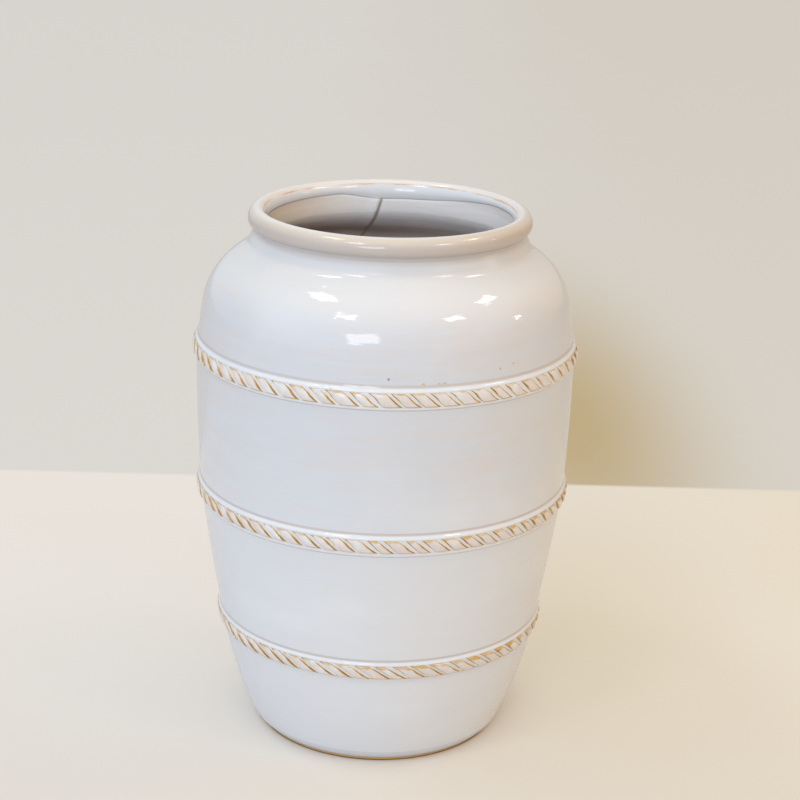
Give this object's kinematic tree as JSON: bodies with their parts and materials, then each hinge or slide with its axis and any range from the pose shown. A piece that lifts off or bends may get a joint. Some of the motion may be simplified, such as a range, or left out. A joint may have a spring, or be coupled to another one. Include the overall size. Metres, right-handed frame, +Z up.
{
  "type": "pithos jar",
  "caption": "Tall round glazed ceramic jar after the Greek pithos, swelling to a high shoulder, with a short neck, a rolled rim and raised rope bands around a hollow body.",
  "frame": {"origin": "on the jar's axis, in the plane that the foot stands on", "axes": "+Z up along the jar's axis; -Y towards the viewer of the picture, +X to the viewer's right"},
  "size_m": [0.2216, 0.2216, 0.3112],
  "materials": {
    "white_glaze": "glossy white glaze",
    "rim_glaze": "glossy glaze, thin and cream over the clay",
    "bead_glaze": "glossy pooled white glaze",
    "rope_glaze": "glossy white glaze broken to amber on the edges",
    "bare_clay": "unglazed matt tan clay"
  },
  "bodies": {
    "root": {"base_slab": "bare_clay", "lower_wall": "white_glaze", "belly_wall": "white_glaze", "upper_wall": "white_glaze", "shoulder": "white_glaze", "neck_collar": "white_glaze", "rolled_rim": "rim_glaze", "lower_band_bed": "bead_glaze", "middle_band_bed": "bead_glaze", "upper_band_bed": "bead_glaze", "lower_rope": "rope_glaze", "middle_rope": "rope_glaze", "upper_rope": "rope_glaze"}
  },
  "joints": []
}
